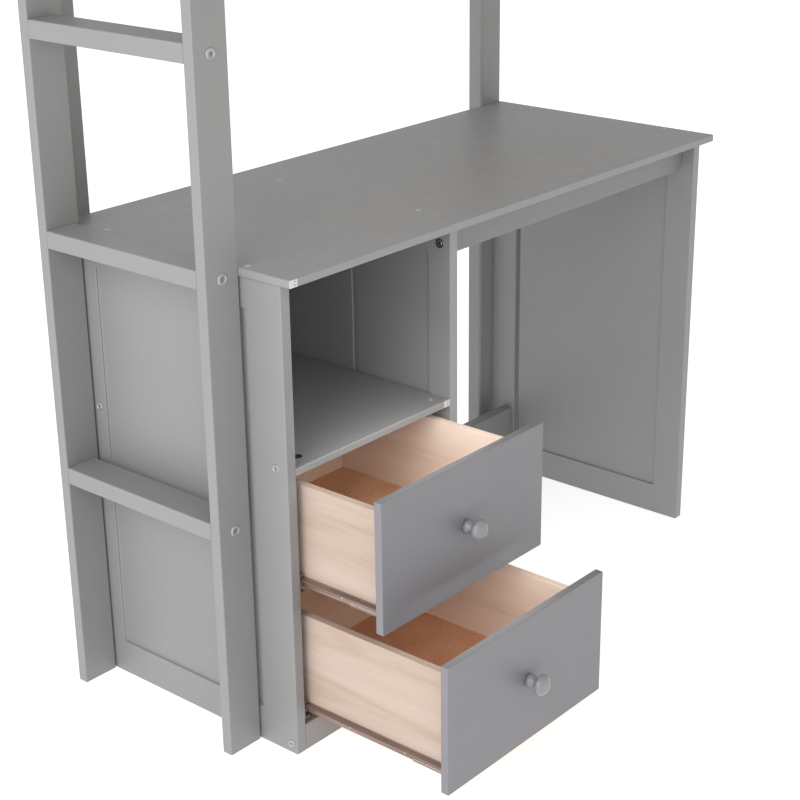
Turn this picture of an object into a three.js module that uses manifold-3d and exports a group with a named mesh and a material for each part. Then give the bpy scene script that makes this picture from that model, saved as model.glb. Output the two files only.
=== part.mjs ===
// Twin loft bed with a desk, a drawer cabinet and a side ladder.
// Millimetres, +Z up. X runs across the bed (ladder side at -X), Y along it (desk end at +Y).
// The origin is on the floor under the middle of the whole object.
import * as THREE from 'three';
import { mergeVertices } from 'three/addons/utils/BufferGeometryUtils.js';
import Module from 'manifold-3d';

// ---- driving dimensions ----
const BED_WIDTH = 1096;           // over the posts
const BED_LENGTH = 1980;          // over the posts, for a 39 x 75 in mattress
const BED_HEIGHT = 1727;
const LADDER_DEPTH = 62.5;        // the ladder stands this far out from the bed's left side
const POST_WIDTH = 61;
const POST_DEPTH = 32;
const POST_CHAMFER = 3;

const RAIL_THICK = 32;            // long side rails
const BOARD = 22;                 // end rails, guard frames, stretcher
const DECK_LOW = 1215;            // bottom of the side and end rails
const DECK_HIGH = 1355;
const CLEAT = 25;
const SLAT_WIDTH = 70;
const SLAT_THICK = 15;
const SLAT_COUNT = 13;
const SLAT_END_GAP = 4;
const TAPE_WIDTH = 25;
const TAPE_THICK = 2;
const TAPE_INSET = 150;

const GUARD_LOW = 1430;
const GUARD_TOP_RAIL = 60;
const GUARD_LOW_RAIL = 45;
const BALUSTER = 60;
const BALUSTER_PITCH = 145;

const LADDER_RAIL_THICK = 18.5;
const LADDER_FRONT_Y = 576;       // near face of the front ladder rail
const LADDER_REAR_Y = 913;        // near face of the rear ladder rail
const RUNG_DEPTH = 54;
const RUNG_HEIGHT = 27.5;
const RUNG_CENTRES = [370, 751, 1059, 1367];

const DESK_HEIGHT = 758;
const DESK_THICK = 12.5;
const DESK_DEPTH = 480;
const PANEL_FRONT_Y = 500;
const SIDE_THICK = 18.5;          // the desk's three upright panels
const PANEL_SETBACK = 3.5;        // the left panel stands back this far from the desk top's end
const PANEL_REAR_Y = 950;
const DESK_OVERHANG = 8.5;        // desk top past the right-hand side panel
const CABINET_CLEAR = 349;        // between the cabinet's two sides
const FIELD_RECESS = 4;           // how far a panel's field lies below its stiles
const STILE_WIDE = 71;
const STILE_NARROW = 43;
const STILE_MIDDLE = 55;
const STILE_REAR = 61.5;
const FIELD_LOW = 58;
const FIELD_HIGH = 698;
const GROOVE_Y = 697;             // joint line in the field beside the cubby
const GROOVE_WIDE = 9;
const GROOVE_DEEP = 1.5;
const GAP_WIDE = 7;               // shadow gap beside the field's rear stile at the knee space
const GAP_DEEP = 4;
const SHELF_TOP = 467.5;
const SHELF_THICK = 12;
const SHELF_DEPTH = 420;
const BACK_THICK = 6;
const KICK_HEIGHT = 45;
const KICK_THICK = 18;
const APRON_SETBACK = 23;
const APRON_LOW = 692;
const APRON_ROUND = 22;
const APRON_THICK = 18;
const STRETCHER_LOW = 56;
const STRETCHER_HIGH = 134;
const STRETCHER_FRONT_Y = 901;

const FRONT_WIDTH = 373;          // overlay drawer fronts
const FRONT_HEIGHT = 205;
const FRONT_THICK = 13;
const FRONT_EDGE = 1.5;           // small round on the fronts' outer edges
const BOX_DEPTH = 385;
const BOX_HEIGHT = 150;
const BOX_WALL = 12;
const BOX_RISE = 21.5;            // box side above the front's lower edge
const BOTTOM_THICK = 4;
const BOTTOM_RISE = 10;
const DRAWERS = [
  { name: 'upper_drawer', frontLow: 266, open: 163 },
  { name: 'lower_drawer', frontLow: 53, open: 279 },
];
const KNOB_HEAD_R = 15.5;
const KNOB_BASE_R = 11;
const KNOB_NECK_R = 7;
const KNOB_LENGTH = 31;
const KNOB_HEAD_HALF = 10;        // half the length of the knob's domed head
const KNOB_HEAD_STEPS = 8;

const SLIDE_SPACE = 12.7;         // between the cabinet side and the drawer side
const SLIDE_LENGTH = 385;
const STEEL = 1.2;
const ROLLER_R = 7.5;
const ROLLER_BORE = 3.3;
const AXLE_R = 3;
const ROLLER_WIDTH = 7;
const RUN_GAP = 0.3;
const CHANNEL_LOW = -20;          // these six are heights from the drawer box's underside
const CHANNEL_HIGH = 8;
const RUNNER_WEB_LOW = -14;
const RUNNER_WEB_HIGH = 3;
const FRONT_ROLLER_Z = -STEEL - RUN_GAP - ROLLER_R;
const REAR_ROLLER_Z = CHANNEL_LOW + STEEL + RUN_GAP + ROLLER_R;
const FLANGE = 10.5;              // these four are distances in from the cabinet side
const RUNNER_LIP = 3.5;
const RUNNER_SHELF = SLIDE_SPACE + 12;
const ROLLER_FROM = 3;
const ROLLER_INSET = 12;          // from a roller's axis to the end of its steel
const ROUND = 24;                 // segments of a round piece

// ---- places worked out from the driving dimensions ----
const LEFT = -(BED_WIDTH + LADDER_DEPTH) / 2 + LADDER_DEPTH;
const RIGHT = LEFT + BED_WIDTH;
const REAR = BED_LENGTH / 2;
const FRONT = -REAR;
const POST_REAR_Y = REAR - POST_DEPTH;
const DESK_UNDER = DESK_HEIGHT - DESK_THICK;
const DESK_FRONT_Y = POST_REAR_Y - DESK_DEPTH;
const CABINET_LEFT = LEFT + PANEL_SETBACK + SIDE_THICK;
const CABINET_RIGHT = CABINET_LEFT + CABINET_CLEAR;
const KNEE_LEFT = CABINET_RIGHT + SIDE_THICK;
const KNEE_RIGHT = RIGHT - DESK_OVERHANG - SIDE_THICK;
const RUNG_FRONT_Y = LADDER_FRONT_Y + LADDER_RAIL_THICK;

// ---- materials ----
const paint = new THREE.MeshStandardMaterial({ color: 0x8c8d8f, roughness: 0.45 });
const birch = new THREE.MeshStandardMaterial({ color: 0xdfc9b5, roughness: 0.6 });
const hardboard = new THREE.MeshStandardMaterial({ color: 0x9c6f52, roughness: 0.7 });
const pine = new THREE.MeshStandardMaterial({ color: 0xd9bf95, roughness: 0.7 });
const steel = new THREE.MeshStandardMaterial({ color: 0x6e625c, roughness: 0.4, metalness: 0.8 });
const nylon = new THREE.MeshStandardMaterial({ color: 0x60554f, roughness: 0.5 });

const wasm = await Module();
wasm.setup();
const bed = new THREE.Group();

// ---- helpers ----
function add(name, geometry, material) {
  const mesh = new THREE.Mesh(geometry, material);
  mesh.name = name;
  bed.add(mesh);
}

function box(low, high) {
  const geometry = new THREE.BoxGeometry(high[0] - low[0], high[1] - low[1], high[2] - low[2]);
  geometry.translate((low[0] + high[0]) / 2, (low[1] + high[1]) / 2, (low[2] + high[2]) / 2);
  return geometry;
}

// The geometry as a manifold solid: only places are kept, and vertices at one place become one.
function toSolid(geometry) {
  const bare = geometry.clone();
  bare.deleteAttribute('normal');
  bare.deleteAttribute('uv');
  const merged = mergeVertices(bare, 1e-4);
  const vertProperties = new Float32Array(merged.attributes.position.array);
  const triVerts = new Uint32Array(merged.index.array);
  return new wasm.Manifold(new wasm.Mesh({ numProp: 3, vertProperties, triVerts }));
}

function toGeometry(solid) {
  const mesh = solid.getMesh();
  const geometry = new THREE.BufferGeometry();
  geometry.setAttribute('position', new THREE.BufferAttribute(new Float32Array(mesh.vertProperties), 3));
  geometry.setIndex(new THREE.BufferAttribute(new Uint32Array(mesh.triVerts), 1));
  geometry.computeVertexNormals();
  return geometry;
}

function cut(body, ...tools) {
  return toGeometry(tools.reduce((solid, tool) => solid.subtract(toSolid(tool)), toSolid(body)));
}

function join(...pieces) {
  const [first, ...rest] = pieces.map(toSolid);
  return toGeometry(rest.reduce((solid, piece) => solid.add(piece), first));
}

function outline(points) {
  return new THREE.Shape(points.map(([x, y]) => new THREE.Vector2(x, y)));
}

// A section in the plane (across, up) pushed along +Y.
function pushAlongY(shape, fromY, length) {
  const geometry = new THREE.ExtrudeGeometry(shape, { depth: length, bevelEnabled: false, curveSegments: 8 });
  geometry.rotateX(Math.PI / 2);
  geometry.translate(0, fromY + length, 0);
  return geometry;
}

function pushUp(shape, fromZ, height) {
  const geometry = new THREE.ExtrudeGeometry(shape, { depth: height, bevelEnabled: false, curveSegments: 8 });
  geometry.translate(0, 0, fromZ);
  return geometry;
}

// A turned piece whose axis is X; profile points are (radius, place along the axis).
function turnedOnX(profile, place) {
  const geometry = new THREE.LatheGeometry(profile.map(([r, h]) => new THREE.Vector2(r, h)), ROUND);
  geometry.rotateZ(-Math.PI / 2);
  geometry.translate(...place);
  return geometry;
}

// ---- bed frame ----
function post(name, x, y) {
  const c = POST_CHAMFER;
  const [w, d] = [POST_WIDTH, POST_DEPTH];
  const section = outline([
    [x + c, y], [x + w - c, y], [x + w, y + c], [x + w, y + d - c],
    [x + w - c, y + d], [x + c, y + d], [x, y + d - c], [x, y + c],
  ]);
  add(name, pushUp(section, 0, BED_HEIGHT), paint);
}

function posts() {
  post('post_rear_left', LEFT, POST_REAR_Y);
  post('post_rear_right', RIGHT - POST_WIDTH, POST_REAR_Y);
  post('post_front_left', LEFT, FRONT);
  post('post_front_right', RIGHT - POST_WIDTH, FRONT);
}

function bedRails() {
  const fromY = FRONT + POST_DEPTH;
  add('side_rail_left', box([LEFT, fromY, DECK_LOW], [LEFT + RAIL_THICK, -fromY, DECK_HIGH]), paint);
  add('side_rail_right', box([RIGHT - RAIL_THICK, fromY, DECK_LOW], [RIGHT, -fromY, DECK_HIGH]), paint);
  const fromX = LEFT + POST_WIDTH;
  const toX = RIGHT - POST_WIDTH;
  const inset = (POST_DEPTH - BOARD) / 2;
  for (const [name, y] of [['end_rail_rear', REAR - inset - BOARD], ['end_rail_front', FRONT + inset]]) {
    add(name, box([fromX, y, DECK_LOW], [toX, y + BOARD, DECK_HIGH]), paint);
  }
}

function slats() {
  const cleatLow = DECK_LOW + CLEAT;
  const top = cleatLow + CLEAT;
  const endY = -FRONT - POST_DEPTH - CLEAT;
  const inner = LEFT + RAIL_THICK;
  add('slat_cleat_left', box([inner, -endY, cleatLow], [inner + CLEAT, endY, top]), pine);
  const outer = RIGHT - RAIL_THICK;
  add('slat_cleat_right', box([outer - CLEAT, -endY, cleatLow], [outer, endY, top]), pine);
  const pieces = [];
  const [fromX, toX] = [inner + SLAT_END_GAP, outer - SLAT_END_GAP];
  const pitch = (2 * endY - SLAT_WIDTH) / (SLAT_COUNT - 1);
  for (let i = 0; i < SLAT_COUNT; i += 1) {
    const y = -endY + i * pitch;
    pieces.push(box([fromX, y, top], [toX, y + SLAT_WIDTH, top + SLAT_THICK]));
  }
  for (const x of [fromX + TAPE_INSET, toX - TAPE_INSET - TAPE_WIDTH]) {
    const low = top + SLAT_THICK - TAPE_THICK / 2;
    pieces.push(box([x, -endY + 1, low], [x + TAPE_WIDTH, endY - 1, low + TAPE_THICK]));
  }
  add('slat_roll', join(...pieces), pine);
}

// A guard frame is a board with evenly spaced windows, which leave two rails and the balusters.
// place(along, across, up) turns the frame's own directions into X, Y and Z.
function guardFrame(name, from, to, across, place) {
  const board = (a, b, low, high, spare) => {
    return box(place(a, across - spare, low), place(b, across + BOARD + spare, high));
  };
  const gaps = Math.round((to - from - BALUSTER) / BALUSTER_PITCH);
  const pitch = (to - from - BALUSTER) / gaps;
  const windows = [];
  for (let i = 0; i < gaps; i += 1) {
    const a = from + i * pitch + BALUSTER;
    const b = from + (i + 1) * pitch;
    windows.push(board(a, b, GUARD_LOW + GUARD_LOW_RAIL, BED_HEIGHT - GUARD_TOP_RAIL, 1));
  }
  add(name, cut(board(from, to, GUARD_LOW, BED_HEIGHT, 0), ...windows), paint);
}

function guards() {
  const alongY = (along, across, up) => [across, along, up];
  const alongX = (along, across, up) => [along, across, up];
  const endY = -FRONT - POST_DEPTH;
  guardFrame('guard_left', -endY, RUNG_FRONT_Y, LEFT, alongY);
  guardFrame('guard_right', -endY, endY, RIGHT - BOARD, alongY);
  const [fromX, toX] = [LEFT + POST_WIDTH, RIGHT - POST_WIDTH];
  const inset = (POST_DEPTH - BOARD) / 2;
  guardFrame('guard_rear', fromX, toX, REAR - inset - BOARD, alongX);
  guardFrame('guard_front', fromX, toX, FRONT + inset, alongX);
}

// ---- ladder ----
function ladder() {
  const outer = LEFT - LADDER_DEPTH;
  const rails = [['ladder_rail_front', LADDER_FRONT_Y], ['ladder_rail_rear', LADDER_REAR_Y]];
  for (const [name, y] of rails) {
    add(name, box([outer, y, 0], [LEFT, y + LADDER_RAIL_THICK, BED_HEIGHT]), paint);
  }
  RUNG_CENTRES.forEach((z, i) => {
    const low = [outer, RUNG_FRONT_Y, z - RUNG_HEIGHT / 2];
    const high = [outer + RUNG_DEPTH, LADDER_REAR_Y, z + RUNG_HEIGHT / 2];
    add(`ladder_rung_${i + 1}`, box(low, high), paint);
  });
}

// ---- desk and cabinet ----
// A side panel with a sunk field on each face that asks for one, less any further tools.
function sidePanel(name, fromX, toX, fieldOnLeft, fieldOnRight, frontStile, rearStile, ...more) {
  const body = box([fromX, PANEL_FRONT_Y, 0], [toX, PANEL_REAR_Y, DESK_UNDER]);
  const [y0, y1] = [PANEL_FRONT_Y + frontStile, PANEL_REAR_Y - rearStile];
  const tools = [...more];
  if (fieldOnLeft) tools.push(box([fromX - 1, y0, FIELD_LOW], [fromX + FIELD_RECESS, y1, FIELD_HIGH]));
  if (fieldOnRight) tools.push(box([toX - FIELD_RECESS, y0, FIELD_LOW], [toX + 1, y1, FIELD_HIGH]));
  add(name, cut(body, ...tools), paint);
}

function deskFrame() {
  add('desk_top', box([LEFT, DESK_FRONT_Y, DESK_UNDER], [RIGHT, POST_REAR_Y, DESK_HEIGHT]), paint);
  sidePanel('cabinet_side_left', LEFT + PANEL_SETBACK, CABINET_LEFT, true, false, STILE_WIDE, STILE_REAR);
  const groove = (fromX, y, wide, deep) => {
    const toX = fromX + FIELD_RECESS + deep;
    return box([fromX, y, FIELD_LOW], [toX, y + wide, FIELD_HIGH]);
  };
  const joint = groove(CABINET_RIGHT, GROOVE_Y, GROOVE_WIDE, GROOVE_DEEP);
  sidePanel('cabinet_side_right', CABINET_RIGHT, KNEE_LEFT, true, true, STILE_NARROW, STILE_REAR, joint);
  const gapY = PANEL_REAR_Y - STILE_MIDDLE - GAP_WIDE;
  const gap = groove(KNEE_RIGHT, gapY, GAP_WIDE, GAP_DEEP);
  const kneeOut = KNEE_RIGHT + SIDE_THICK;
  sidePanel('desk_side_right', KNEE_RIGHT, kneeOut, true, true, STILE_MIDDLE, STILE_MIDDLE, gap);

  const apronY = PANEL_FRONT_Y + APRON_SETBACK;
  const apron = outline([[KNEE_LEFT, APRON_LOW], [KNEE_RIGHT - APRON_ROUND, APRON_LOW]]);
  apron.absarc(KNEE_RIGHT - APRON_ROUND, APRON_LOW + APRON_ROUND, APRON_ROUND, -Math.PI / 2, 0, false);
  apron.lineTo(KNEE_RIGHT, DESK_UNDER);
  apron.lineTo(KNEE_LEFT, DESK_UNDER);
  add('apron_front', pushAlongY(apron, apronY, APRON_THICK), paint);

  const rearY = PANEL_REAR_Y - APRON_THICK;
  add('apron_rear', box([KNEE_LEFT, rearY, APRON_LOW], [KNEE_RIGHT, PANEL_REAR_Y, DESK_UNDER]), paint);
  const stretcherLow = [KNEE_LEFT, STRETCHER_FRONT_Y, STRETCHER_LOW];
  add('stretcher_rear', box(stretcherLow, [KNEE_RIGHT, STRETCHER_FRONT_Y + BOARD, STRETCHER_HIGH]), paint);
}

function cabinet() {
  const shelfLow = [CABINET_LEFT, PANEL_FRONT_Y, SHELF_TOP - SHELF_THICK];
  add('cabinet_shelf', box(shelfLow, [CABINET_RIGHT, PANEL_FRONT_Y + SHELF_DEPTH, SHELF_TOP]), paint);
  const backY = PANEL_FRONT_Y + SHELF_DEPTH;
  add('cabinet_back', box([CABINET_LEFT, backY, 0], [CABINET_RIGHT, backY + BACK_THICK, DESK_UNDER]), paint);
  const kickLow = [CABINET_LEFT, PANEL_FRONT_Y, 0];
  add('cabinet_kick_rail', box(kickLow, [CABINET_RIGHT, PANEL_FRONT_Y + KICK_THICK, KICK_HEIGHT]), paint);
}

// ---- drawers ----
function knob(name, x, y, z) {
  const profile = [[0, 0], [KNOB_BASE_R, 0], [KNOB_BASE_R, 2.5], [KNOB_BASE_R - 2.5, 5], [KNOB_NECK_R, 8]];
  profile.push([KNOB_NECK_R, 12]);
  const headMid = KNOB_LENGTH - KNOB_HEAD_HALF;
  for (let i = 0; i <= KNOB_HEAD_STEPS; i += 1) {
    const turn = -Math.PI / 3 + (i / KNOB_HEAD_STEPS) * (Math.PI / 3 + Math.PI / 2);
    const r = i === KNOB_HEAD_STEPS ? 0 : KNOB_HEAD_R * Math.cos(turn);
    profile.push([r, headMid + KNOB_HEAD_HALF * Math.sin(turn)]);
  }
  const points = profile.map(([r, h]) => new THREE.Vector2(r, h));
  const geometry = new THREE.LatheGeometry(points, ROUND);
  geometry.rotateX(Math.PI);
  geometry.translate(x, y, z);
  add(name, geometry, paint);
}

function drawerFront(name, fromX, nearY, low) {
  const e = FRONT_EDGE;
  const section = outline([
    [fromX + e, low], [fromX + FRONT_WIDTH - e, low], [fromX + FRONT_WIDTH, low + e],
    [fromX + FRONT_WIDTH, low + FRONT_HEIGHT - e], [fromX + FRONT_WIDTH - e, low + FRONT_HEIGHT],
    [fromX + e, low + FRONT_HEIGHT], [fromX, low + FRONT_HEIGHT - e], [fromX, low + e],
  ]);
  add(name, pushAlongY(section, nearY, FRONT_THICK), paint);
}

// The drawer's wooden box stands behind its front; the bottom is let in between the walls.
function drawerBox({ name, frontLow, open }) {
  const y0 = PANEL_FRONT_Y - open;
  const y1 = y0 + BOX_DEPTH;
  const z0 = frontLow + BOX_RISE;
  const z1 = z0 + BOX_HEIGHT;
  const left = CABINET_LEFT + SLIDE_SPACE;
  const right = CABINET_RIGHT - SLIDE_SPACE;
  const frontX = CABINET_LEFT - SIDE_THICK;
  drawerFront(`${name}_front`, frontX, y0 - FRONT_THICK, frontLow);
  add(`${name}_side_left`, box([left, y0, z0], [left + BOX_WALL, y1, z1]), birch);
  add(`${name}_side_right`, box([right - BOX_WALL, y0, z0], [right, y1, z1]), birch);
  add(`${name}_back`, box([left + BOX_WALL, y1 - BOX_WALL, z0], [right - BOX_WALL, y1, z1]), birch);
  const bottomLow = [left + BOX_WALL, y0, z0 + BOTTOM_RISE];
  const bottomHigh = [right - BOX_WALL, y1 - BOX_WALL, z0 + BOTTOM_RISE + BOTTOM_THICK];
  add(`${name}_bottom`, box(bottomLow, bottomHigh), hardboard);
  knob(`${name}_knob`, frontX + FRONT_WIDTH / 2, y0 - FRONT_THICK, frontLow + FRONT_HEIGHT / 2);
}

// ---- roller slides ----
// Sections are drawn in (distance in from the cabinet side, height above the box's underside).

function sideSection(points, wallX, side, baseZ) {
  return outline(points.map(([u, h]) => [wallX + side * u, baseZ + h]));
}

function roller(name, wallX, side, y, z) {
  const half = ROLLER_WIDTH / 2;
  const corners = [[ROLLER_BORE, -half], [ROLLER_R, -half], [ROLLER_R, half], [ROLLER_BORE, half]];
  const ring = [...corners, corners[0]];
  add(name, turnedOnX(ring, [wallX + side * (ROLLER_FROM + half), y, z]), nylon);
}

function axle(wallX, side, fromU, toU, y, z) {
  const half = (toU - fromU) / 2;
  const rod = [[0, -half], [AXLE_R, -half], [AXLE_R, half], [0, half]];
  return turnedOnX(rod, [wallX + side * (fromU + half), y, z]);
}

function slide(drawer, hand, wallX, side) {
  const base = drawer.frontLow + BOX_RISE;
  const frontRollerY = PANEL_FRONT_Y + ROLLER_INSET;
  const frontZ = base + FRONT_ROLLER_Z;
  const rearZ = base + REAR_ROLLER_Z;
  const channel = sideSection([
    [0, CHANNEL_LOW], [FLANGE, CHANNEL_LOW], [FLANGE, CHANNEL_LOW + STEEL], [STEEL, CHANNEL_LOW + STEEL],
    [STEEL, CHANNEL_HIGH - STEEL], [FLANGE, CHANNEL_HIGH - STEEL], [FLANGE, CHANNEL_HIGH], [0, CHANNEL_HIGH],
  ], wallX, side, base);
  const channelBody = pushAlongY(channel, PANEL_FRONT_Y + 1, SLIDE_LENGTH);
  const frontAxle = axle(wallX, side, STEEL / 2, FLANGE - 0.5, frontRollerY, frontZ);
  add(`${drawer.name}_channel_${hand}`, join(channelBody, frontAxle), steel);

  const webIn = SLIDE_SPACE - STEEL;
  const runner = sideSection([
    [RUNNER_LIP, -STEEL], [webIn, -STEEL], [webIn, RUNNER_WEB_LOW], [SLIDE_SPACE, RUNNER_WEB_LOW],
    [SLIDE_SPACE, -STEEL], [RUNNER_SHELF, -STEEL], [RUNNER_SHELF, 0], [SLIDE_SPACE, 0],
    [SLIDE_SPACE, RUNNER_WEB_HIGH], [webIn, RUNNER_WEB_HIGH], [webIn, 0], [RUNNER_LIP, 0],
  ], wallX, side, base);
  const fromY = PANEL_FRONT_Y - drawer.open;
  const rearRollerY = fromY + SLIDE_LENGTH - ROLLER_INSET;
  const rearAxle = axle(wallX, side, ROLLER_FROM, SLIDE_SPACE - STEEL / 2, rearRollerY, rearZ);
  add(`${drawer.name}_runner_${hand}`, join(pushAlongY(runner, fromY, SLIDE_LENGTH), rearAxle), steel);

  roller(`${drawer.name}_front_roller_${hand}`, wallX, side, frontRollerY, frontZ);
  roller(`${drawer.name}_rear_roller_${hand}`, wallX, side, rearRollerY, rearZ);
}

posts();
bedRails();
slats();
guards();
ladder();
deskFrame();
cabinet();
for (const drawer of DRAWERS) {
  drawerBox(drawer);
  slide(drawer, 'left', CABINET_LEFT, 1);
  slide(drawer, 'right', CABINET_RIGHT, -1);
}

export default bed;
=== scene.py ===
"""Twin loft bed with a desk: paint, wood, hardware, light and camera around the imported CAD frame.

Everything is in metres, in the CAD frame: +Z up, +Y along the bed towards the desk, the ladder at -X.
"""
import math

import bmesh
import bpy
from mathutils import Matrix, Vector


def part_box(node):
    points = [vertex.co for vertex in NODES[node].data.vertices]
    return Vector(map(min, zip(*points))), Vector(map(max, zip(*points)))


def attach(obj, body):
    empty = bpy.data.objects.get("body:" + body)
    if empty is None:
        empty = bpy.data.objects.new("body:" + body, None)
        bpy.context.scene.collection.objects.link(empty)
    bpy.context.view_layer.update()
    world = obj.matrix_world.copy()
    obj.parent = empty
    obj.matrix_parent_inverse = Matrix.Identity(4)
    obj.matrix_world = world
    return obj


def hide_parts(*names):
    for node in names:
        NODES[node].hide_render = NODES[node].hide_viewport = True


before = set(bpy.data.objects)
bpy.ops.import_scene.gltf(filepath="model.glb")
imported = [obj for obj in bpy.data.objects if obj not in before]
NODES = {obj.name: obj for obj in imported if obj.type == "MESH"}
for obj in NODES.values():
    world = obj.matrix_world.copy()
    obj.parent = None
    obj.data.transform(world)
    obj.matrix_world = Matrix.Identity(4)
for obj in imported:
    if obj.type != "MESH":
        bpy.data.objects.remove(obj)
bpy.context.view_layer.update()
FIXED = "bed_frame"
DRAWERS = ("upper_drawer", "lower_drawer")
HANDS = ("left", "right")
MM = 0.001

# ---- the photograph's viewpoint ----
CAMERA_PLACE = (-2.107, -1.084, 1.465)
CAMERA_HEADING = -49.29   # degrees about Z from +Y
CAMERA_TILT = 21.62       # degrees below the horizon
CAMERA_ROLL = -0.75
CAMERA_LENS = 77.89

# ---- surface sizes ----
BOARD_BEVEL = 1.6 * MM
THIN_BEVEL = 0.8 * MM
STEEL_BEVEL = 0.25 * MM
HEAD_SIDES = 36            # segments of a bolt, cam or cap
ROUND_SIDES = 64           # segments of a knob or roller
LADDER_BOLT = 8.5 * MM     # radii of the heads
DESK_BOLT = 6.5 * MM


def srgb(red, green, blue):
    """A colour given as 0-255 display values, as linear light."""
    def linear(v):
        v /= 255
        return v / 12.92 if v <= 0.04045 else ((v + 0.055) / 1.055) ** 2.4
    return (linear(red), linear(green), linear(blue), 1.0)


# ---- materials ----
class Surface:
    """A Principled material and short ways to add nodes to it."""

    def __init__(self, name, roughness, metallic=0.0, specular=0.5):
        self.material = bpy.data.materials.new(name)
        self.material.use_nodes = True
        self.tree = self.material.node_tree
        self.shader = self.tree.nodes["Principled BSDF"]
        self.shader.inputs["Roughness"].default_value = roughness
        self.shader.inputs["Metallic"].default_value = metallic
        self.shader.inputs["Specular IOR Level"].default_value = specular

    def node(self, kind, **values):
        made = self.tree.nodes.new(kind)
        for key, value in values.items():
            if key in made.inputs:
                made.inputs[key].default_value = value
            else:
                setattr(made, key, value)
        return made

    def link(self, start, end):
        self.tree.links.new(start, end)

    def place(self, scale):
        """Object coordinates stretched by scale along X, Y and Z."""
        coordinates = self.node("ShaderNodeTexCoord")
        mapping = self.node("ShaderNodeMapping")
        mapping.inputs["Scale"].default_value = scale
        self.link(coordinates.outputs["Object"], mapping.inputs["Vector"])
        return mapping.outputs["Vector"]

    def noise(self, vector, scale, detail=3.0, rough=0.5, distortion=0.0):
        made = self.node("ShaderNodeTexNoise")
        made.inputs["Scale"].default_value = scale
        made.inputs["Detail"].default_value = detail
        made.inputs["Roughness"].default_value = rough
        made.inputs["Distortion"].default_value = distortion
        self.link(vector, made.inputs["Vector"])
        return made.outputs["Fac"]

    def ramp(self, factor, stops):
        made = self.node("ShaderNodeValToRGB")
        elements = made.color_ramp.elements
        while len(elements) < len(stops):
            elements.new(0.5)
        for element, (position, colour) in zip(elements, stops):
            element.position = position
            element.color = colour
        self.link(factor, made.inputs["Fac"])
        return made.outputs["Color"]

    def mix(self, kind, factor, first, second):
        """Mixes two colour outputs with a fixed factor or a factor output."""
        made = self.node("ShaderNodeMix", data_type="RGBA", blend_type=kind)
        if isinstance(factor, float):
            made.inputs["Factor"].default_value = factor
        else:
            self.link(factor, made.inputs["Factor"])
        self.link(first, made.inputs["A"])
        self.link(second, made.inputs["B"])
        return made.outputs["Result"]

    def to_range(self, factor, low, high):
        made = self.node("ShaderNodeMapRange")
        made.inputs["To Min"].default_value = low
        made.inputs["To Max"].default_value = high
        self.link(factor, made.inputs["Value"])
        return made.outputs["Result"]

    def add(self, first, second, weight):
        """first plus weight times second."""
        made = self.node("ShaderNodeMath", operation="MULTIPLY_ADD")
        self.link(second, made.inputs[0])
        made.inputs[1].default_value = weight
        self.link(first, made.inputs[2])
        return made.outputs["Value"]

    def bump(self, height, strength, distance):
        made = self.node("ShaderNodeBump")
        made.inputs["Strength"].default_value = strength
        made.inputs["Distance"].default_value = distance
        self.link(height, made.inputs["Height"])
        self.link(made.outputs["Normal"], self.shader.inputs["Normal"])

    def colour(self, output):
        self.link(output, self.shader.inputs["Base Color"])

    def rough(self, output):
        self.link(output, self.shader.inputs["Roughness"])


def along(axis, stretch, across):
    """A mapping scale that stretches a pattern along one axis."""
    return tuple(stretch if i == axis else across for i in range(3))


def gray_paint(name, axis, grain, colour=None, gloss=(0.36, 0.50)):
    """Satin gray lacquer; the wood's grain just telegraphs through along the given axis."""
    surface = Surface(name, 0.42)
    colour = colour or GRAY
    even = surface.place((1, 1, 1))
    patches = surface.noise(even, 5.0, 2.0)
    streaks = surface.noise(surface.place(along(axis, 3, 90)), 1.0, 4.0, 0.6)
    tone = surface.add(patches, streaks, 0.5)
    darker, lighter = (tuple(k * c for c in colour) for k in (0.97, 1.03))
    surface.colour(surface.ramp(tone, [(0.35, darker), (1.05, lighter)]))
    surface.rough(surface.to_range(surface.noise(even, 60.0, 3.0), *gloss))
    orange_peel = surface.noise(even, 420.0, 2.0)
    surface.bump(surface.add(orange_peel, streaks, grain), 0.10, 0.35 * MM)
    return surface.material


def clear_wood(name, axis, light, mid, dark, roughness=0.55):
    """Bare wood: wide growth bands, fine fibre streaks and short pores along the axis."""
    surface = Surface(name, roughness, specular=0.35)
    bands_at = surface.place(along(axis, 1.1, 9))
    bands = surface.noise(bands_at, 1.6, 3.0, 0.55, 1.2)
    fibres = surface.noise(surface.place(along(axis, 9, 420)), 1.0, 5.0, 0.65)
    pores = surface.noise(surface.place(along(axis, 60, 900)), 1.0, 2.0, 0.5)
    base = surface.ramp(bands, [(0.30, dark), (0.46, mid), (0.66, light)])
    streaks = surface.ramp(fibres, [(0.30, (0.84, 0.78, 0.73, 1)), (0.62, (1, 1, 1, 1))])
    speckles = surface.ramp(pores, [(0.28, (0.76, 0.68, 0.61, 1)), (0.38, (1, 1, 1, 1))])
    tinted = surface.mix("MULTIPLY", 0.30, base, streaks)
    surface.colour(surface.mix("MULTIPLY", 0.24, tinted, speckles))
    surface.rough(surface.to_range(fibres, roughness - 0.08, roughness + 0.12))
    surface.bump(surface.add(fibres, pores, 0.6), 0.22, 0.25 * MM)
    return surface.material


def hardboard(name):
    """Orange-brown pressed board: flecks of fibre in every direction."""
    surface = Surface(name, 0.6, specular=0.3)
    even = surface.place((1, 1, 1))
    flecks = surface.noise(even, 260.0, 5.0, 0.7)
    clouds = surface.noise(even, 14.0, 3.0)
    base = surface.ramp(clouds, [(0.35, srgb(224, 170, 134)), (0.65, srgb(238, 188, 152))])
    grains = surface.ramp(flecks, [(0.38, (0.78, 0.70, 0.64, 1)), (0.60, (1, 1, 1, 1))])
    surface.colour(surface.mix("MULTIPLY", 0.7, base, grains))
    surface.bump(flecks, 0.2, 0.2 * MM)
    return surface.material


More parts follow.
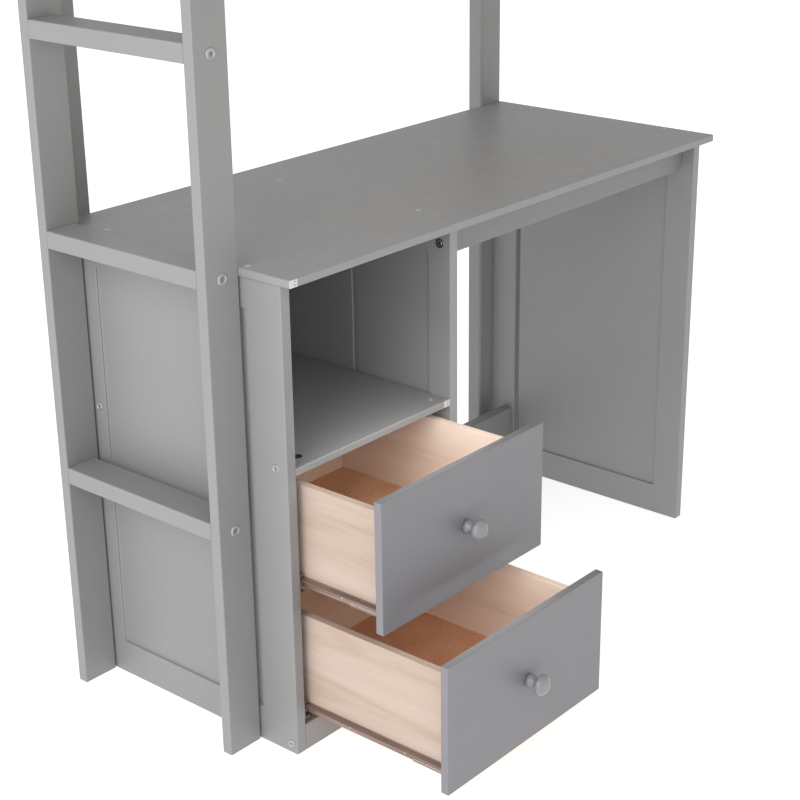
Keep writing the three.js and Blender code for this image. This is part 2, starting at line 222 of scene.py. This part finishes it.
def slide_steel(name, dark, light, roughness):
    """Sheet steel with a thin brownish coat, rubbed in streaks along the slide."""
    surface = Surface(name, roughness, metallic=0.4)
    rubbed = surface.noise(surface.place(along(1, 8, 300)), 1.0, 4.0, 0.6)
    surface.colour(surface.ramp(rubbed, [(0.35, dark), (0.68, light)]))
    surface.rough(surface.to_range(rubbed, roughness - 0.1, roughness + 0.12))
    surface.bump(rubbed, 0.12, 0.1 * MM)
    return surface.material


def plain_grain(name, low, high, roughness, scale, metallic=0.0, bump=0.08):
    """Moulded plastic or plated metal: a fine mottling in colour, gloss and height."""
    surface = Surface(name, roughness, metallic=metallic)
    even = surface.place((1, 1, 1))
    mottle = surface.noise(even, scale, 3.0)
    surface.colour(surface.ramp(mottle, [(0.35, low), (0.65, high)]))
    surface.rough(surface.to_range(mottle, roughness - 0.05, roughness + 0.08))
    surface.bump(mottle, bump, 0.1 * MM)
    return surface.material


def webbing_cloth(name):
    """Woven polypropylene tape: ribs across and yarns along."""
    surface = Surface(name, 0.8, specular=0.25)
    ribs = surface.node("ShaderNodeTexWave", wave_type="BANDS", bands_direction="Y")
    ribs.inputs["Scale"].default_value = 160.0
    ribs.inputs["Distortion"].default_value = 0.6
    surface.link(surface.place((1, 1, 1)), ribs.inputs["Vector"])
    yarns = surface.node("ShaderNodeTexWave", wave_type="BANDS", bands_direction="X")
    yarns.inputs["Scale"].default_value = 190.0
    surface.link(surface.place((1, 1, 1)), yarns.inputs["Vector"])
    weave = surface.add(ribs.outputs["Fac"], yarns.outputs["Fac"], 0.7)
    surface.colour(surface.ramp(weave, [(0.3, srgb(196, 192, 184)), (1.3, srgb(232, 229, 222))]))
    surface.bump(weave, 0.5, 0.4 * MM)
    return surface.material


def floor_paint(name):
    """The plain white floor."""
    surface = Surface(name, 0.9, specular=0.1)
    patches = surface.noise(surface.place((1, 1, 1)), 0.6, 2.0)
    surface.colour(surface.ramp(patches, [(0.3, (0.64, 0.64, 0.64, 1)), (0.7, (0.66, 0.66, 0.66, 1))]))
    surface.shader.inputs["Emission Color"].default_value = (1, 1, 1, 1)
    surface.shader.inputs["Emission Strength"].default_value = 0.7
    return surface.material


# A darker copy of the birch: painted shade on the drawers' left walls, which face the lamps.
BIRCH_PAINTED_SHADE_OUTER = srgb(190, 173, 162), srgb(182, 163, 150), srgb(172, 150, 134)
# Lighter copies of the birch: painted light on the drawers' right walls and backs, in the shade inside the
# drawers.
BIRCH_PAINTED_LIGHT_INNER = srgb(250, 232, 218), srgb(244, 222, 204), srgb(233, 205, 180)
BIRCH_PAINTED_LIGHT_BACK = srgb(252, 236, 216), srgb(248, 228, 204), srgb(238, 214, 186)
PINE_TONES = srgb(232, 219, 198), srgb(222, 206, 182), srgb(203, 181, 150)
GRAY = srgb(134, 134, 134)
# A lighter, slightly cooler copy of the frame's gray: painted light on the desk top.
TOP_PAINTED_LIGHT_GRAY = srgb(137, 138, 140)
# A lighter copy of the frame's gray: painted light on the cubby's right wall and shelf, which lie in shade.
INNER_PAINTED_LIGHT_GRAY = srgb(143, 143, 144)
# A lighter copy of the frame's gray: painted light on the knee-space panel in the shade under the desk top.
KNEE_PAINTED_LIGHT_GRAY = srgb(138, 138, 139)
# A darker copy of the frame's gray with a slight cool tint: the tint is the fronts' own, the darkening is
# painted shade on the drawer fronts.
FRONT_TINT_AND_PAINTED_SHADE_GRAY = srgb(121, 120, 124)
KNOB_GRAY = srgb(130, 129, 133)
# A darker copy of the frame's gray: painted shade on the aprons under the desk top's overhang.
APRON_PAINTED_SHADE_GRAY = srgb(126, 126, 127)
PAINT = [gray_paint(f"gray_paint_{n}", i, 0.9) for i, n in enumerate("xyz")]
PAINT_FLAT = gray_paint("gray_paint_board", 2, 0.15)
PAINT_TOP_PAINTED_LIGHT = gray_paint("gray_paint_top_painted_light", 0, 0.15, TOP_PAINTED_LIGHT_GRAY)
PAINT_INNER_PAINTED_LIGHT = gray_paint("gray_paint_inner_painted_light", 2, 0.15, INNER_PAINTED_LIGHT_GRAY)
PAINT_KNEE_PAINTED_LIGHT = gray_paint("gray_paint_knee_painted_light", 2, 0.15, KNEE_PAINTED_LIGHT_GRAY)
PAINT_FRONT_TINT_AND_PAINTED_SHADE = gray_paint("gray_paint_front_tint_and_painted_shade", 0, 0.3, FRONT_TINT_AND_PAINTED_SHADE_GRAY)
PAINT_APRON_PAINTED_SHADE = gray_paint("gray_paint_apron_painted_shade", 0, 0.15, APRON_PAINTED_SHADE_GRAY)
PAINT_KNOB = gray_paint("gray_paint_knob", 2, 0.1, KNOB_GRAY, (0.20, 0.28))
# The three drawer-wall materials are one birch, in painted-shade and painted-light copies.
BIRCH = {"side_left": clear_wood("birch_painted_shade_outer", 1, *BIRCH_PAINTED_SHADE_OUTER),
         "side_right": clear_wood("birch_painted_light_inner", 1, *BIRCH_PAINTED_LIGHT_INNER),
         "back": clear_wood("birch_painted_light_back", 0, *BIRCH_PAINTED_LIGHT_BACK)}
PINE = [clear_wood(f"pine_{n}", i, *PINE_TONES, 0.62) for i, n in enumerate("xy")]
HARDBOARD = hardboard("hardboard")
STEEL = slide_steel("slide_steel", srgb(122, 102, 94), srgb(158, 137, 127), 0.45)
BRIGHT_STEEL = plain_grain("bright_steel", srgb(176, 174, 170), srgb(214, 212, 208), 0.28, 300.0, 0.9)
BOLT_GRAY = plain_grain("bolt_gray", srgb(150, 150, 151), srgb(172, 172, 173), 0.34, 260.0, 0.35)
# Darker than the bolt heads: painted shade inside the shallow hex sockets of the bolts.
SOCKET_PAINTED_SHADE_GRAY = plain_grain("socket_painted_shade_gray", srgb(118, 118, 119), srgb(138, 138, 139), 0.4, 300.0, 0.3)
# Near black: painted shade in the cams' grooves and sockets, over the whole of the shelf's cams and in the
# clips' pin holes.
SOCKET_PAINTED_SHADE_DARK = plain_grain("socket_painted_shade_dark", srgb(46, 46, 48), srgb(70, 70, 72), 0.5, 300.0, 0.4)
CAM_ZINC = plain_grain("cam_zinc", srgb(120, 120, 122), srgb(168, 168, 170), 0.35, 240.0, 0.8)
NYLON = plain_grain("dark_nylon", srgb(88, 78, 73), srgb(108, 97, 91), 0.42, 320.0)
CAP_GRAY = plain_grain("cap_gray", srgb(158, 159, 160), srgb(176, 177, 178), 0.4, 320.0)
CLIP_PLASTIC = plain_grain("clip_plastic", srgb(188, 189, 190), srgb(204, 205, 206), 0.4, 320.0)
WEBBING = webbing_cloth("webbing")
FLOOR = floor_paint("floor_white")


# ---- finish of the CAD pieces ----
def finish_node(name, material, bevel):
    """Gives a CAD node its material and breaks its sharp edges with a small round."""
    node = NODES[name]
    mesh = node.data
    mesh.materials.clear()
    mesh.materials.append(material)
    if not bevel:
        return
    if "custom_normal" in mesh.attributes:
        mesh.attributes.remove(mesh.attributes["custom_normal"])
    for polygon in mesh.polygons:
        polygon.use_smooth = True
    weld = node.modifiers.new("weld", "WELD")
    weld.merge_threshold = 0.01 * MM
    flat = node.modifiers.new("flat", "DECIMATE")
    flat.decimate_type = "DISSOLVE"
    flat.angle_limit = math.radians(1)
    edge = node.modifiers.new("edge", "BEVEL")
    edge.width = bevel
    edge.segments = 3
    edge.limit_method = "ANGLE"
    edge.angle_limit = math.radians(40)
    edge.harden_normals = True


PAINTED_ALONG = {
    0: ("end_rail_rear", "end_rail_front", "guard_rear", "guard_front",
        "stretcher_rear", "cabinet_kick_rail"),
    1: ("side_rail_left", "side_rail_right", "guard_left", "guard_right", "ladder_rung_1",
        "ladder_rung_2", "ladder_rung_3", "ladder_rung_4"),
    2: ("post_rear_left", "post_rear_right", "post_front_left", "post_front_right",
        "ladder_rail_front", "ladder_rail_rear"),
}
# The desk top, cubby, knee-space and apron paints are lit and shaded copies of the one gray: painted light
# and painted shade.
PAINTED_BOARDS = {"desk_top": PAINT_TOP_PAINTED_LIGHT, "cabinet_side_left": PAINT_FLAT, "cabinet_side_right": PAINT_INNER_PAINTED_LIGHT,
                  "desk_side_right": PAINT_KNEE_PAINTED_LIGHT, "cabinet_shelf": PAINT_INNER_PAINTED_LIGHT, "cabinet_back": PAINT_FLAT,
                  "apron_front": PAINT_APRON_PAINTED_SHADE, "apron_rear": PAINT_APRON_PAINTED_SHADE}


def finish_cad():
    """Gives every CAD node that stays visible its material."""
    for axis, names in PAINTED_ALONG.items():
        for name in names:
            finish_node(name, PAINT[axis], BOARD_BEVEL)
    for name, paint in PAINTED_BOARDS.items():
        finish_node(name, paint, BOARD_BEVEL)
    for name in ("slat_cleat_left", "slat_cleat_right"):
        finish_node(name, PINE[1], BOARD_BEVEL)
    finish_node("slat_roll", PINE[0], THIN_BEVEL)
    for drawer in DRAWERS:
        # The fronts' paint carries their own cool tint plus painted shade.
        finish_node(f"{drawer}_front", PAINT_FRONT_TINT_AND_PAINTED_SHADE, BOARD_BEVEL)
        for hand in HANDS:
            finish_node(f"{drawer}_channel_{hand}", STEEL, STEEL_BEVEL)
            finish_node(f"{drawer}_runner_{hand}", STEEL, STEEL_BEVEL)
        for part, wood in BIRCH.items():
            finish_node(f"{drawer}_{part}", wood, THIN_BEVEL)
        finish_node(f"{drawer}_bottom", HARDBOARD, 0)


# ---- new pieces ----
def new_piece(name, mesh, materials, body, smooth=True):
    """Links a piece, gives it its materials and makes it ride on a body."""
    for polygon in mesh.polygons:
        polygon.use_smooth = smooth
    piece = bpy.data.objects.new(name, mesh)
    bpy.context.scene.collection.objects.link(piece)
    for material in materials:
        mesh.materials.append(material)
    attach(piece, body)
    return piece


def facing(direction, place):
    """A matrix that turns +Z to a direction and moves the origin to a place."""
    turn = Vector(direction).to_track_quat("Z", "Y").to_matrix().to_4x4()
    return Matrix.Translation(Vector(place)) @ turn


def ring_of(shape, sides):
    """Points of a loop: shape starts with its kind, round or hex, its radius and its height."""
    kind, radius, height = shape[:3]
    loop = []
    for i in range(sides):
        angle = 2 * math.pi * i / sides
        reach = radius
        if kind == "hex":
            sector = (angle % (math.pi / 3)) - math.pi / 6
            reach = radius * math.cos(math.pi / 6) / math.cos(sector)
        loop.append((reach * math.cos(angle), reach * math.sin(angle), height))
    return loop


def turned(bm, loops, matrix, sides):
    """Skins loops of points into a closed turned solid, from its underside up to its last loop."""
    rings = []
    for shape in loops:
        rings.append([bm.verts.new(matrix @ Vector(p)) for p in ring_of(shape, sides)])
    bm.faces.new(list(reversed(rings[0])))
    for (low, high, shape) in zip(rings, rings[1:], loops[1:]):
        for i in range(sides):
            j = (i + 1) % sides
            face = bm.faces.new((low[i], low[j], high[j], high[i]))
            face.material_index = shape[3] if len(shape) > 3 else 0
    cap = bm.faces.new(rings[-1])
    cap.material_index = loops[-1][3] if len(loops[-1]) > 3 else 0


def bar(bm, near, far, material=0, round_by=0.0):
    """A box between two opposite corners, with its edges rounded a little if asked."""
    size = [abs(b - a) for a, b in zip(near, far)]
    centre = [(a + b) / 2 for a, b in zip(near, far)]
    made = bmesh.ops.create_cube(bm, size=1, matrix=Matrix.Translation(centre) @ Matrix.Diagonal((*size, 1)))
    faces = {f for v in made["verts"] for f in v.link_faces}
    for face in faces:
        face.material_index = material
    if round_by:
        edges = {e for v in made["verts"] for e in v.link_edges}
        bmesh.ops.bevel(bm, geom=list(edges), offset=round_by, segments=2, affect="EDGES")


def mesh_from(bm, name):
    bm.normal_update()
    mesh = bpy.data.meshes.new(name)
    bm.to_mesh(mesh)
    bm.free()
    return mesh


def scaled(loops, size):
    return [(s[0], s[1] * size, s[2] * size, *s[3:]) for s in loops]


# Loops are (kind, radius, height above the surface, material), for a head of 1 mm radius.
BOLT_HEAD = [("round", 1.0, -0.02), ("round", 1.0, 0.08), ("round", 0.94, 0.18), ("round", 0.84, 0.25),
             ("round", 0.74, 0.25), ("round", 0.66, 0.16), ("round", 0.60, 0.13),
             ("hex", 0.46, 0.13), ("hex", 0.44, 0.10, 1), ("hex", 0.42, 0.05, 1)]
CAP_HEAD = [("round", 1.0, -0.02), ("round", 1.0, 0.04), ("round", 0.93, 0.10), ("round", 0.74, 0.13),
            ("round", 0.66, 0.09), ("round", 0.30, 0.10)]
PAN_HEAD = [("round", 1.0, -0.02), ("round", 1.0, 0.14), ("round", 0.86, 0.30), ("round", 0.50, 0.40),
            ("round", 0.20, 0.42)]
CAM_HEAD = [("round", 1.0, -0.02), ("round", 1.0, 0.05), ("round", 0.92, 0.08), ("round", 0.84, 0.05, 1),
            ("round", 0.60, 0.04, 1), ("round", 0.52, 0.10), ("hex", 0.34, 0.10), ("hex", 0.30, 0.02, 1)]


def heads(name, profile, radius, spots, materials, body=FIXED):
    """One piece holding a head at each spot; a spot is (place, direction it faces)."""
    bm = bmesh.new()
    for place, direction in spots:
        turned(bm, scaled(profile, radius), facing(direction, place), HEAD_SIDES)
    piece = new_piece(name, mesh_from(bm, name), materials, body)
    round_off(piece, 35)
    return piece


def round_off(piece, degrees):
    """Keeps edges sharper than the angle crisp while the rest shades smooth."""
    limit = math.radians(degrees)
    bm = bmesh.new()
    bm.from_mesh(piece.data)
    for edge in bm.edges:
        edge.smooth = len(edge.link_faces) != 2 or edge.calc_face_angle() < limit
    bm.to_mesh(piece.data)
    bm.free()


def middle(name):
    """The middle of a CAD node's box at rest."""
    low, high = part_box(name)
    return (low + high) / 2


DESK_LOW, DESK_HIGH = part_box("desk_top")
X_OUT, Y_OUT = Vector((1, 0, 0)), Vector((0, 1, 0))
UP = Vector((0, 0, 1))


# ---- bolts, caps and cams of the fixed frame ----
def ladder_bolts():
    """A hex-socket bolt through each ladder rail into each rung's end."""
    front_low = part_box("ladder_rail_front")[0]
    rear_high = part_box("ladder_rail_rear")[1]
    x = middle("ladder_rail_front").x
    spots = []
    for i in range(1, 5):
        z = middle(f"ladder_rung_{i}").z - 3 * MM
        spots.append(((x, front_low.y, z), -Y_OUT))
        spots.append(((x, rear_high.y, z), Y_OUT))
    heads("ladder_bolts", BOLT_HEAD, LADDER_BOLT, spots, [BOLT_GRAY, SOCKET_PAINTED_SHADE_GRAY])


def frame_bolts():
    """Two bolts through every post into each rail, and one into each guard rail."""
    heights = [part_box("side_rail_left")[0].z + 38 * MM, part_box("side_rail_left")[1].z - 38 * MM]
    guard_low, guard_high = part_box("guard_right")
    heights += [guard_low.z + 22 * MM, guard_high.z - 30 * MM]
    spots = []
    for post in ("post_rear_left", "post_rear_right", "post_front_left", "post_front_right"):
        low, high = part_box(post)
        centre = middle(post)
        outward_x = X_OUT if centre.x > 0 else -X_OUT
        outward_y = Y_OUT if centre.y > 0 else -Y_OUT
        face_x = high.x if centre.x > 0 else low.x
        face_y = high.y if centre.y > 0 else low.y
        rail_x = middle("side_rail_right" if centre.x > 0 else "side_rail_left").x
        for z in heights:
            spots.append(((rail_x, face_y, z), outward_y))
            spots.append(((face_x, centre.y, z - 14 * MM), outward_x))
    heads("frame_bolts", BOLT_HEAD, LADDER_BOLT, spots, [BOLT_GRAY, SOCKET_PAINTED_SHADE_GRAY])


def barrel_nuts():
    """Slotted barrel nuts in the inner faces of the side rails, behind the bolts."""
    spots = []
    for hand, side in zip(HANDS, (1, -1)):
        low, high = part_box(f"side_rail_{hand}")
        face = high.x if side > 0 else low.x
        for z in (low.z + 38 * MM, high.z - 38 * MM):
            for y in (low.y + 35 * MM, high.y - 35 * MM):
                spots.append(((face, y, z), X_OUT * side))
    heads("barrel_nuts", CAM_HEAD, 5.5 * MM, spots, [CAM_ZINC, SOCKET_PAINTED_SHADE_DARK])


def desk_bolts():
    """Bolts through the desk's side panels into the shelf, rails, aprons and stretcher."""
    shelf = middle("cabinet_shelf").z + 7 * MM
    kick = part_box("cabinet_kick_rail")[1].z / 3
    front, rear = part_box("cabinet_side_left")[0].y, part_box("cabinet_side_left")[1].y
    left = [(front + 22 * MM, shelf), (rear - 45.5 * MM, shelf), (front + 13 * MM, kick)]
    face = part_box("cabinet_side_left")[0].x
    spots = [((face, y, z), -X_OUT) for y, z in left]
    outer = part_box("desk_side_right")[1].x
    for name in ("apron_front", "apron_rear", "stretcher_rear"):
        centre = middle(name)
        spots.append(((outer, centre.y, centre.z), X_OUT))
    heads("desk_bolts", BOLT_HEAD, DESK_BOLT, spots, [BOLT_GRAY, SOCKET_PAINTED_SHADE_GRAY])


def desk_cams():
    """Cam locks seen inside the cubby and the knee space."""
    inner_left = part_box("cabinet_side_left")[1].x
    inner_right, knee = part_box("cabinet_side_right")[0].x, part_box("cabinet_side_right")[1].x
    desk_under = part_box("desk_top")[0].z
    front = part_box("cabinet_side_right")[0].y + 20 * MM
    spots = [((inner_right, front, desk_under - 29 * MM), -X_OUT),
             ((inner_left, front, desk_under - 29 * MM), X_OUT),
             ((knee, middle("stretcher_rear").y, middle("stretcher_rear").z + 55 * MM), X_OUT)]
    heads("desk_cams", CAM_HEAD, 8.0 * MM, spots, [CAM_ZINC, SOCKET_PAINTED_SHADE_DARK])
    low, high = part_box("cabinet_shelf")
    cam_spots = [((low.x + 34 * MM, y, high.z), UP) for y in (low.y + 30 * MM, high.y - 30 * MM)]
    # The shelf's cams are drawn wholly dark: painted shade for their holes in the shelf.
    heads("shelf_cams", CAM_HEAD, 7.5 * MM, cam_spots, [SOCKET_PAINTED_SHADE_DARK, SOCKET_PAINTED_SHADE_DARK])
    cap_spots = [((high.x - 22 * MM, y, high.z), UP) for y in (low.y + 22 * MM, high.y - 22 * MM)]
    heads("shelf_screw_caps", CAP_HEAD, 4.5 * MM, cap_spots, [CAP_GRAY])


def desk_caps():
    """Plastic caps over the screws that hold the desk top to the cabinet's sides."""
    spots = []
    for name in ("cabinet_side_left", "cabinet_side_right"):
        x = middle(name).x
        low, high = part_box(name)
        for y in (low.y + 70 * MM, high.y - 85 * MM):
            spots.append(((x, y, DESK_HIGH.z), UP))
    x = middle("desk_side_right").x
    for y in (DESK_LOW.y + 92 * MM, DESK_HIGH.y - 88 * MM):
        spots.append(((x, y, DESK_HIGH.z), UP))
    heads("desk_screw_caps", CAP_HEAD, 5.0 * MM, spots, [CAP_GRAY])


CLIP_INSET = 8 * MM        # from a clip's middle to the board's end
CLIP_HALF = 7.5 * MM
CLIP_PROUD = 0.3 * MM      # a closed drawer front passes 0.5 mm in front of the shelf


def edge_clip(name, centre_x, low, high, front_y):
    """A small pale plastic clip let into a board's front edge, with two pin holes."""
    half = (high - low) / 2
    face_y = front_y - CLIP_PROUD
    bm = bmesh.new()
    near = (centre_x - CLIP_HALF, face_y, low + 0.6 * MM)
    bar(bm, near, (centre_x + CLIP_HALF, front_y + 1.5 * MM, high - 0.6 * MM), 0, 0.3 * MM)
    for side in (-1, 1):
        spot = (centre_x + 0.35 * half, face_y, low + half + side * 0.4 * half)
        # Each pin hole is a dark disc: painted shade standing in for the hole.
        hole = [("round", 1.0, -0.02, 1), ("round", 1.0, 0.05, 1), ("round", 0.6, 0.06, 1)]
        turned(bm, scaled(hole, 1.1 * MM), facing(-Y_OUT, spot), 16)
    new_piece(name, mesh_from(bm, name), [CLIP_PLASTIC, SOCKET_PAINTED_SHADE_DARK], FIXED, False)


def edge_clips():
    """A clip on the desk top's edge and one on the shelf's."""
    edge_clip("desk_edge_clip", DESK_LOW.x + CLIP_INSET, DESK_LOW.z, DESK_HIGH.z, DESK_LOW.y)
    low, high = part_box("cabinet_shelf")
    edge_clip("shelf_edge_clip", high.x - CLIP_INSET, low.z, high.z, low.y)


# ---- slats' webbing ----
SLAT_COUNT = 13
SLAT_WIDTH = 70 * MM
TAPE_WIDTH = 25 * MM
TAPE_INSET = 150 * MM
TAPE_PAD = 1.0 * MM      # the woven tape stands out past the CAD tape on each side
TAPE_STEPS = 96


def slat_tapes():
    """Two woven tapes stapled over the slats."""
    low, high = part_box("slat_roll")
    top, under = high.z + 0.7 * MM, high.z - 2.6 * MM
    for hand, x in (("left", low.x + TAPE_INSET), ("right", high.x - TAPE_INSET - TAPE_WIDTH)):
        near_x, far_x = x - TAPE_PAD, x + TAPE_WIDTH + TAPE_PAD
        bm = bmesh.new()
        rows = []
        for i in range(TAPE_STEPS + 1):
            y = low.y + 2 * MM + (high.y - low.y - 4 * MM) * i / TAPE_STEPS
            corners = ((near_x, under), (far_x, under), (far_x, top), (near_x, top))
            rows.append([bm.verts.new((cx, y, cz)) for cx, cz in corners])
        for near, far in zip(rows, rows[1:]):
            for k in range(4):
                bm.faces.new((near[k], near[(k + 1) % 4], far[(k + 1) % 4], far[k]))
        bm.faces.new(list(reversed(rows[0])))
        bm.faces.new(rows[-1])
        bmesh.ops.recalc_face_normals(bm, faces=bm.faces)
        name = f"slat_tape_{hand}"
        new_piece(name, mesh_from(bm, name), [WEBBING], FIXED, False)


def tape_staples():
    """A staple where each tape crosses each slat."""
    low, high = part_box("slat_roll")
    pitch = (high.y - low.y - SLAT_WIDTH) / (SLAT_COUNT - 1)
    tape_middle = TAPE_INSET + TAPE_WIDTH / 2
    bm = bmesh.new()
    for x in (low.x + tape_middle, high.x - tape_middle):
        for i in range(SLAT_COUNT):
            y = low.y + SLAT_WIDTH / 2 + i * pitch
            for part in (-1, 1):
                near = (x - 5.5 * MM, y + part * 9 * MM - 0.55 * MM, high.z + 0.5 * MM)
                bar(bm, near, (near[0] + 11 * MM, near[1] + 1.1 * MM, high.z + 1.2 * MM), 0, 0.2 * MM)
    new_piece("tape_staples", mesh_from(bm, "tape_staples"), [BRIGHT_STEEL], FIXED)


# ---- drawers' round pieces ----
def knob_profile():
    """Half section of the mushroom knob: a bulging collar, a narrow neck and a broad round head."""
    loops = [("round", 8.6, 0.0), ("round", 10.0, 1.0), ("round", 10.7, 3.5), ("round", 10.4, 6.5),
             ("round", 9.0, 9.5), ("round", 7.2, 12.0), ("round", 6.8, 14.0), ("round", 7.4, 15.4)]
    rim, neck, centre, half = 16.3, 7.6, 23.95, 8.75
    steps = 20
    for i in range(steps + 1):
        angle = -math.pi / 2 + math.pi * (i + 1) / (steps + 2)
        radius = rim * math.cos(angle) ** 0.62
        if angle < 0:
            loops.append(("round", max(neck, radius), centre + 0.86 * half * math.sin(angle)))
        else:
            loops.append(("round", radius, centre + half * math.sin(angle)))
    return loops


def knobs():
    """Smooth knobs in place of the faceted ones."""
    for drawer in DRAWERS:
        node = f"{drawer}_knob"
        centre = middle(node)
        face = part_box(node)[1].y
        bm = bmesh.new()
        loops = scaled(knob_profile(), MM)
        turned(bm, loops, facing(-Y_OUT, (centre.x, face - 0.1 * MM, centre.z)), ROUND_SIDES)
        name = f"{drawer}_round_knob"
        piece = new_piece(name, mesh_from(bm, name), [PAINT_KNOB], drawer)
        round_off(piece, 60)
        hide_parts(node)


# (radius, distance along the axle) round the roller's section, in millimetres
ROLLER_SECTION = ((3.3, -3.5), (6.9, -3.5), (7.5, -2.9), (7.5, -1.1), (7.1, -0.7), (7.1, 0.7), (7.5, 1.1),
                  (7.5, 2.9), (6.9, 3.5), (3.3, 3.5))


def tyre(name, centre):
    """The mesh of one roller: a closed ring about X with a shallow groove in its tread."""
    bm = bmesh.new()
    rings = []
    for radius, offset in ROLLER_SECTION:
        ring = []
        for i in range(ROUND_SIDES):
            angle = 2 * math.pi * i / ROUND_SIDES
            y, z = radius * MM * math.cos(angle), radius * MM * math.sin(angle)
            ring.append(bm.verts.new(centre + Vector((offset * MM, y, z))))
        rings.append(ring)
    for low, high in zip(rings, rings[1:] + rings[:1]):
        for i in range(ROUND_SIDES):
            j = (i + 1) % ROUND_SIDES
            bm.faces.new((low[i], low[j], high[j], high[i]))
    bmesh.ops.recalc_face_normals(bm, faces=bm.faces)
    return mesh_from(bm, name)


def rollers():
    """Nylon rollers in place of the faceted ones."""
    for drawer in DRAWERS:
        for place in ("front", "rear"):
            for hand in HANDS:
                node = f"{drawer}_{place}_roller_{hand}"
                name = f"{node}_tyre"
                piece = new_piece(name, tyre(name, middle(node)), [NYLON], node)
                round_off(piece, 30)
                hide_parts(node)


def runner_details():
    """On each drawer runner: a deeper stamped toe at its front, a bright strip that is a painted highlight,
    and its screws.
    """
    for drawer in DRAWERS:
        for hand, side in zip(HANDS, (-1, 1)):
            low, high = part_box(f"{drawer}_runner_{hand}")
            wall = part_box(f"{drawer}_side_{hand}")
            web = wall[0].x if side < 0 else wall[1].x
            outer = web + side * 1.2 * MM
            start, end = low.y + 1 * MM, low.y + 76 * MM
            toe = (web, start, low.z - 1.2 * MM), (outer + side * 0.5 * MM, end, low.z + 2.0 * MM)
            # The bright strip is a painted highlight on the runner's web, drawn in bright steel.
            painted_highlight = (web, start, low.z + 2.6 * MM), (outer + side * 0.8 * MM, end, low.z + 3.8 * MM)
            bm = bmesh.new()
            bar(bm, *toe)
            bar(bm, *painted_highlight, 1)
            name = f"{drawer}_runner_toe_{hand}"
            new_piece(name, mesh_from(bm, name), [STEEL, BRIGHT_STEEL], drawer, False)
            spots = []
            for y in (low.y + 92 * MM, low.y + 198 * MM, high.y - 60 * MM):
                spots.append(((outer, y, low.z + 7.5 * MM), X_OUT * side))
            heads(f"{drawer}_runner_screws_{hand}", PAN_HEAD, 2.6 * MM, spots, [BRIGHT_STEEL], drawer)


# ---- stage, light and camera ----
def stage():
    """The floor, and a gray card on it inside the cabinet: a painted shadow where no light would reach the
    floor.
    """
    bpy.ops.mesh.primitive_plane_add(size=60, location=(0, 0, 0))
    floor = bpy.context.object
    floor.name = "floor"
    floor.data.materials.append(FLOOR)
    low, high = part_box("cabinet_shelf")
    centre = middle("cabinet_shelf")
    # The gray card is a painted shadow on the glowing floor inside the cabinet.
    bpy.ops.mesh.primitive_plane_add(size=1, location=(centre.x, centre.y, 0.5 * MM))
    shade = bpy.context.object
    shade.name = "painted_shadow_card_inside_cabinet"
    shade.scale = (high.x - low.x - 4 * MM, high.y - low.y - 40 * MM, 1)
    shade.data.materials.append(PAINT_FLAT)


def area_light(name, place, aim, size, power):
    """A rectangular lamp that the camera doesn't see, turned towards a point."""
    data = bpy.data.lights.new(name, "AREA")
    data.shape = "RECTANGLE"
    data.size, data.size_y = size
    data.energy = power
    lamp = bpy.data.objects.new(name, data)
    lamp.location = place
    lamp.visible_camera = False
    lamp.rotation_euler = (Vector(aim) - Vector(place)).to_track_quat("-Z", "Y").to_euler()
    bpy.context.scene.collection.objects.link(lamp)


def lights():
    """Two big soft lamps from the ladder side, a weak fill, and a little light into the open drawers."""
    area_light("key", (-3.4, -0.05, 2.8), (0, 0.4, 0.5), (2.6, 2.2), 54)
    area_light("side", (-3.6, 0.0, 1.3), (0, 0.4, 0.5), (2.6, 2.2), 36)
    area_light("fill", (-1.15, -0.75, 1.1), (0, 0.4, 0.5), (0.9, 0.7), 4)
    area_light("upper_drawer_glow", (-0.33, 0.40, 0.54), (-0.33, 0.52, 0.30), (0.26, 0.10), 0.22)
    area_light("lower_drawer_glow", (-0.33, 0.27, 0.30), (-0.33, 0.27, 0.0), (0.26, 0.06), 0.08)
    world = bpy.data.worlds.new("studio")
    world.use_nodes = True
    background = world.node_tree.nodes["Background"]
    background.inputs["Color"].default_value = (1, 1, 1, 1)
    background.inputs["Strength"].default_value = 0.70
    bpy.context.scene.world = world
    bpy.context.scene.view_settings.view_transform = "Standard"


def camera():
    """The camera at the photograph's viewing angle."""
    data = bpy.data.cameras.new("camera")
    data.lens = CAMERA_LENS
    data.clip_end = 100
    view = bpy.data.objects.new("camera", data)
    turn = Matrix.Rotation(math.radians(CAMERA_HEADING), 4, "Z")
    tilt = Matrix.Rotation(math.radians(90 - CAMERA_TILT), 4, "X")
    roll = Matrix.Rotation(math.radians(CAMERA_ROLL), 4, "Z")
    view.matrix_world = Matrix.Translation(CAMERA_PLACE) @ turn @ tilt @ roll
    bpy.context.scene.collection.objects.link(view)
    bpy.context.scene.camera = view


camera()
finish_cad()
ladder_bolts()
frame_bolts()
barrel_nuts()
desk_bolts()
desk_cams()
desk_caps()
edge_clips()
slat_tapes()
tape_staples()
knobs()
rollers()
runner_details()
stage()
lights()
